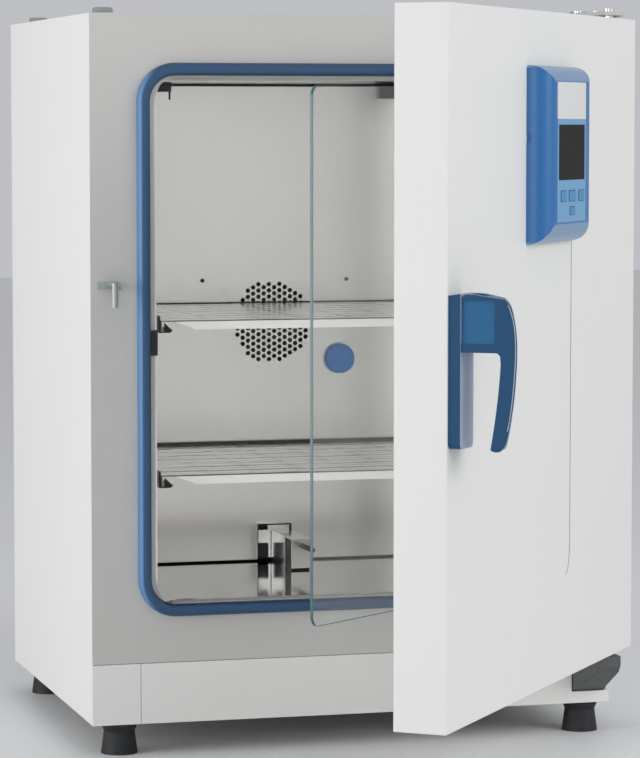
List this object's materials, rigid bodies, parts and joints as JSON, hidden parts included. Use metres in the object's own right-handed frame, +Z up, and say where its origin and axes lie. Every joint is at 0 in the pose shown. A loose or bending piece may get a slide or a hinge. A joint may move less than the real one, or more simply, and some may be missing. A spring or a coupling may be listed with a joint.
{
  "type": "laboratory incubator",
  "caption": "Bench-top laboratory incubator with an outer door, glass inner door, slotted shelves and a blue door-mounted control panel.",
  "frame": {"origin": "on the bench, on the cabinet's centre plane and in the plane of the outer door's hinge axis, 42 mm in front of the front frame", "axes": "+X to the right as seen from the front, +Y towards the rear, +Z up"},
  "size_m": [0.6481, 1.0877, 0.864],
  "materials": {
    "light_grey_paint": "satin powder coat",
    "grey_paint": "satin powder coat",
    "dark_grey_paint": "semi-matte",
    "pin_steel": "polished",
    "mirror_steel": "bright annealed",
    "satin_steel": "satin",
    "mineral_wool": "fibrous",
    "blue_rubber": "matte",
    "black_plastic": "fine grain",
    "clear_glass": "polished, tempered",
    "dark_rubber": "matte",
    "white_silicone": "soft matte",
    "blue_plastic": "semi-gloss moulded",
    "handle_plastic": "fine grain",
    "inlay_grey": "semi-gloss",
    "overlay_film": "printed film",
    "key_blue": "soft touch",
    "display_black": "gloss",
    "circuit_green": "solder resist",
    "plated_steel": "zinc plated",
    "motor_grey": "satin",
    "fan_aluminium": "satin",
    "heater_steel": "dull, heat-tinted"
  },
  "bodies": {
    "cabinet": {"side_panel_left": "light_grey_paint", "side_panel_right": "light_grey_paint", "top_panel": "light_grey_paint", "base_plate": "plated_steel", "rear_cover": "light_grey_paint", "front_frame": "grey_paint", "lower_fascia": "grey_paint", "corner_cap_left": "grey_paint", "lower_hinge_bracket": "dark_grey_paint", "upper_hinge_plate": "grey_paint", "hinge_pins": "pin_steel", "chamber_side_walls": "mirror_steel", "chamber_ceiling": "mirror_steel", "chamber_floor": "mirror_steel", "chamber_rear_wall": "satin_steel", "rear_air_baffle": "mirror_steel", "baffle_screws": "pin_steel", "insulation_boards": "mineral_wool", "door_gasket": "blue_rubber", "door_striker": "pin_steel", "glass_catch": "black_plastic", "glass_hinge_blocks": "plated_steel", "shelf_rails": "satin_steel", "rail_spring_clips": "black_plastic", "shelf_runners": "satin_steel", "sensor_guard": "mirror_steel", "temperature_probe": "black_plastic", "fan_motor": "motor_grey", "heater_ring": "heater_steel", "port_sleeve": "satin_steel", "mains_inlet": "black_plastic", "stacking_pads": "dark_rubber"},
    "door": {"door_outer_skin": "light_grey_paint", "door_inner_panel": "satin_steel", "door_insulation": "mineral_wool", "door_hinge_bushes": "black_plastic", "handle_plate": "handle_plastic", "latch_pins": "pin_steel", "panel_housing": "blue_plastic", "panel_overlay": "overlay_film", "display_window": "display_black", "control_board": "circuit_green"},
    "handle": {"handle_lever": "handle_plastic", "handle_inlay": "inlay_grey"},
    "latch": {"latch_hook": "plated_steel"},
    "button_left": {"button_left": "key_blue"},
    "button_middle": {"button_middle": "key_blue"},
    "button_right": {"button_right": "key_blue"},
    "button_lower": {"button_lower": "key_blue"},
    "glass_door": {"glass_pane": "clear_glass", "glass_clamps": "plated_steel"},
    "shelf_upper": {"shelf_upper": "mirror_steel"},
    "shelf_lower": {"shelf_lower": "mirror_steel"},
    "fan": {"fan_wheel": "fan_aluminium"},
    "inner_plug": {"inner_port_plug": "white_silicone"},
    "outer_plug": {"outer_port_plug": "white_silicone"},
    "foot_front_left": {"levelling_foot_front_left": "dark_rubber"},
    "foot_rear_left": {"levelling_foot_rear_left": "dark_rubber"},
    "foot_front_right": {"levelling_foot_front_right": "dark_rubber"},
    "foot_rear_right": {"levelling_foot_rear_right": "dark_rubber"}
  },
  "joints": [
    {"name": "door_hinge", "type": "hinge", "parent": "cabinet", "child": "door", "pos_m": [0.292, 0, 0.108], "axis": [0, 0, 1], "range_deg": [-52.25, 70]},
    {"name": "glass_door_hinge", "type": "hinge", "parent": "cabinet", "child": "glass_door", "pos_m": [0.231, 0.05, 0.185], "axis": [0, 0, 1], "range_deg": [-38.85, 52.1]},
    {"name": "handle_pull", "type": "hinge", "parent": "door", "child": "handle", "pos_m": [-0.03174, -0.49489, 0.545], "axis": [-0.6122, -0.7907, 0], "range_deg": [0, 10], "stiffness_Nm_per_rad": 1.5},
    {"name": "latch_turn", "type": "hinge", "parent": "door", "child": "latch", "pos_m": [-0.0488, -0.45322, 0.5345], "axis": [0, 0, -1], "range_deg": [0, 15.5]},
    {"name": "button_left_press", "type": "slide", "parent": "door", "child": "button_left", "axis": [-0.7907, 0.6122, 0], "range_m": [0, 0.0008], "stiffness_N_per_m": 400},
    {"name": "button_middle_press", "type": "slide", "parent": "door", "child": "button_middle", "axis": [-0.7907, 0.6122, 0], "range_m": [0, 0.0008], "stiffness_N_per_m": 400},
    {"name": "button_right_press", "type": "slide", "parent": "door", "child": "button_right", "axis": [-0.7907, 0.6122, 0], "range_m": [0, 0.0008], "stiffness_N_per_m": 400},
    {"name": "button_lower_press", "type": "slide", "parent": "door", "child": "button_lower", "axis": [-0.7907, 0.6122, 0], "range_m": [0, 0.0008], "stiffness_N_per_m": 400},
    {"name": "shelf_upper_slide", "type": "slide", "parent": "cabinet", "child": "shelf_upper", "axis": [0, -1, 0], "range_m": [0, 0.008]},
    {"name": "shelf_lower_slide", "type": "slide", "parent": "cabinet", "child": "shelf_lower", "axis": [0, -1, 0], "range_m": [0, 0.008]},
    {"name": "fan_spin", "type": "hinge", "parent": "cabinet", "child": "fan", "pos_m": [-0.006, 0.446, 0.4775], "axis": [0, 1, 0], "continuous": true},
    {"name": "inner_plug_pull", "type": "slide", "parent": "cabinet", "child": "inner_plug", "axis": [0, -1, 0], "range_m": [0, 0.04]},
    {"name": "outer_plug_pull", "type": "slide", "parent": "cabinet", "child": "outer_plug", "axis": [0, 1, 0], "range_m": [0, 0.05]},
    {"name": "foot_front_left_turn", "type": "hinge", "parent": "cabinet", "child": "foot_front_left", "pos_m": [-0.284, 0.065, 0.02], "axis": [0, 0, 1], "continuous": true},
    {"name": "foot_rear_left_turn", "type": "hinge", "parent": "cabinet", "child": "foot_rear_left", "pos_m": [-0.284, 0.5, 0.02], "axis": [0, 0, 1], "continuous": true},
    {"name": "foot_front_right_turn", "type": "hinge", "parent": "cabinet", "child": "foot_front_right", "pos_m": [0.284, 0.065, 0.02], "axis": [0, 0, 1], "continuous": true},
    {"name": "foot_rear_right_turn", "type": "hinge", "parent": "cabinet", "child": "foot_rear_right", "pos_m": [0.284, 0.5, 0.02], "axis": [0, 0, 1], "continuous": true}
  ],
  "couplings": [
    {"joint": "glass_door_hinge", "follows": "door_hinge", "ratio": 0.74257},
    {"joint": "latch_turn", "follows": "handle_pull", "ratio": 1.5}
  ]
}
